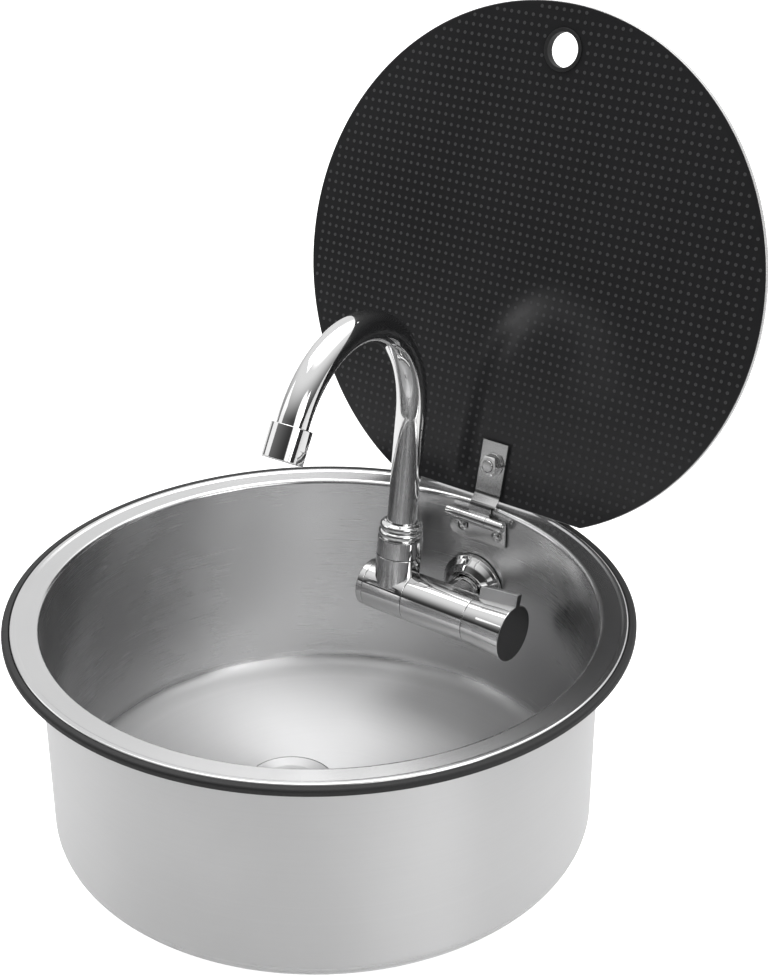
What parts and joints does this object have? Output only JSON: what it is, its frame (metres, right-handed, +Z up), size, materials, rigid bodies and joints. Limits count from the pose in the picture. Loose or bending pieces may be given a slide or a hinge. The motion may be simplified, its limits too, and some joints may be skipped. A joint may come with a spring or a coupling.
{
  "type": "round sink with hinged glass lid and folding tap",
  "caption": "Round drop-in steel sink for a camper van, with a hinged round glass lid and a gooseneck tap on the wall that folds flat.",
  "frame": {"origin": "centre of the worktop cut-out, on the plane of the worktop that the rim gasket lies on", "axes": "+Z up out of the worktop, +Y towards the lid hinge at the rear, +X to the right as seen from the front, along the hinge pin"},
  "size_m": [0.39, 0.455, 0.5427],
  "materials": {
    "bowl_steel": "satin pressed stainless steel",
    "bright_steel": "bright stainless steel",
    "tap_chrome": "polished chrome plate",
    "black_rubber": "matt black rubber",
    "tinted_glass": "black printed toughened glass, glossy",
    "black_plastic": "dark satin plastic",
    "white_plastic": "white moulded plastic",
    "grey_plastic": "grey moulded plastic",
    "brass": "bare turned brass"
  },
  "bodies": {
    "root": {"sink_bowl": "bowl_steel", "rim_gasket": "black_rubber", "hinge_leaf": "bright_steel", "hinge_pin": "bright_steel", "leaf_screw_left": "bright_steel", "leaf_screw_right": "bright_steel", "leaf_nut_left": "bright_steel", "leaf_nut_right": "bright_steel", "valve_body": "tap_chrome", "wall_flange": "tap_chrome", "shank_seal": "black_rubber", "shank_washer": "bright_steel", "shank_nut": "brass", "cartridge_body": "white_plastic", "cartridge_ring": "brass", "drain_flange": "bright_steel", "drain_strainer": "bright_steel", "drain_seal_top": "black_rubber", "drain_seal": "black_rubber", "drain_washer": "white_plastic", "drain_nut": "grey_plastic", "drain_tail": "grey_plastic"},
    "lid": {"glass_lid": "tinted_glass", "finger_grommet": "black_rubber", "hinge_strap": "bright_steel", "strap_pad": "black_rubber", "lid_bolt": "bright_steel", "lid_bolt_washer": "black_rubber", "lid_nut_washer": "bright_steel", "lid_nut": "bright_steel"},
    "swing_arm": {"swing_socket": "tap_chrome", "end_cap": "tap_chrome", "spigot_oring": "black_rubber", "spout_nut": "tap_chrome"},
    "spout": {"gooseneck_spout": "tap_chrome", "aerator_shell": "tap_chrome", "aerator_insert": "grey_plastic"},
    "knob": {"knob": "tap_chrome", "knob_cap": "black_plastic", "knob_screw": "bright_steel", "cartridge_stem": "brass"}
  },
  "joints": [
    {"name": "lid_hinge", "type": "hinge", "parent": "root", "child": "lid", "pos_m": [0.0031, 0.1659, -0.0049], "axis": [1, 0, 0], "range_deg": [0, 103.6]},
    {"name": "arm_fold", "type": "hinge", "parent": "root", "child": "swing_arm", "pos_m": [0, 0.1327, -0.0607], "axis": [1, 0, 0], "range_deg": [0, 97.3]},
    {"name": "spout_swivel", "type": "hinge", "parent": "swing_arm", "child": "spout", "pos_m": [-0.0395, 0.1327, -0.0607], "axis": [0, 0.1271, 0.9919], "range_deg": [0, 84.9]},
    {"name": "knob_turn", "type": "hinge", "parent": "root", "child": "knob", "pos_m": [0, 0.1327, -0.0607], "axis": [1, 0, 0], "range_deg": [0, 90]}
  ],
  "couplings": [
    {"joint": "arm_fold", "follows": "lid_hinge", "ratio": 0.93919},
    {"joint": "spout_swivel", "follows": "lid_hinge", "ratio": 0.8195}
  ]
}
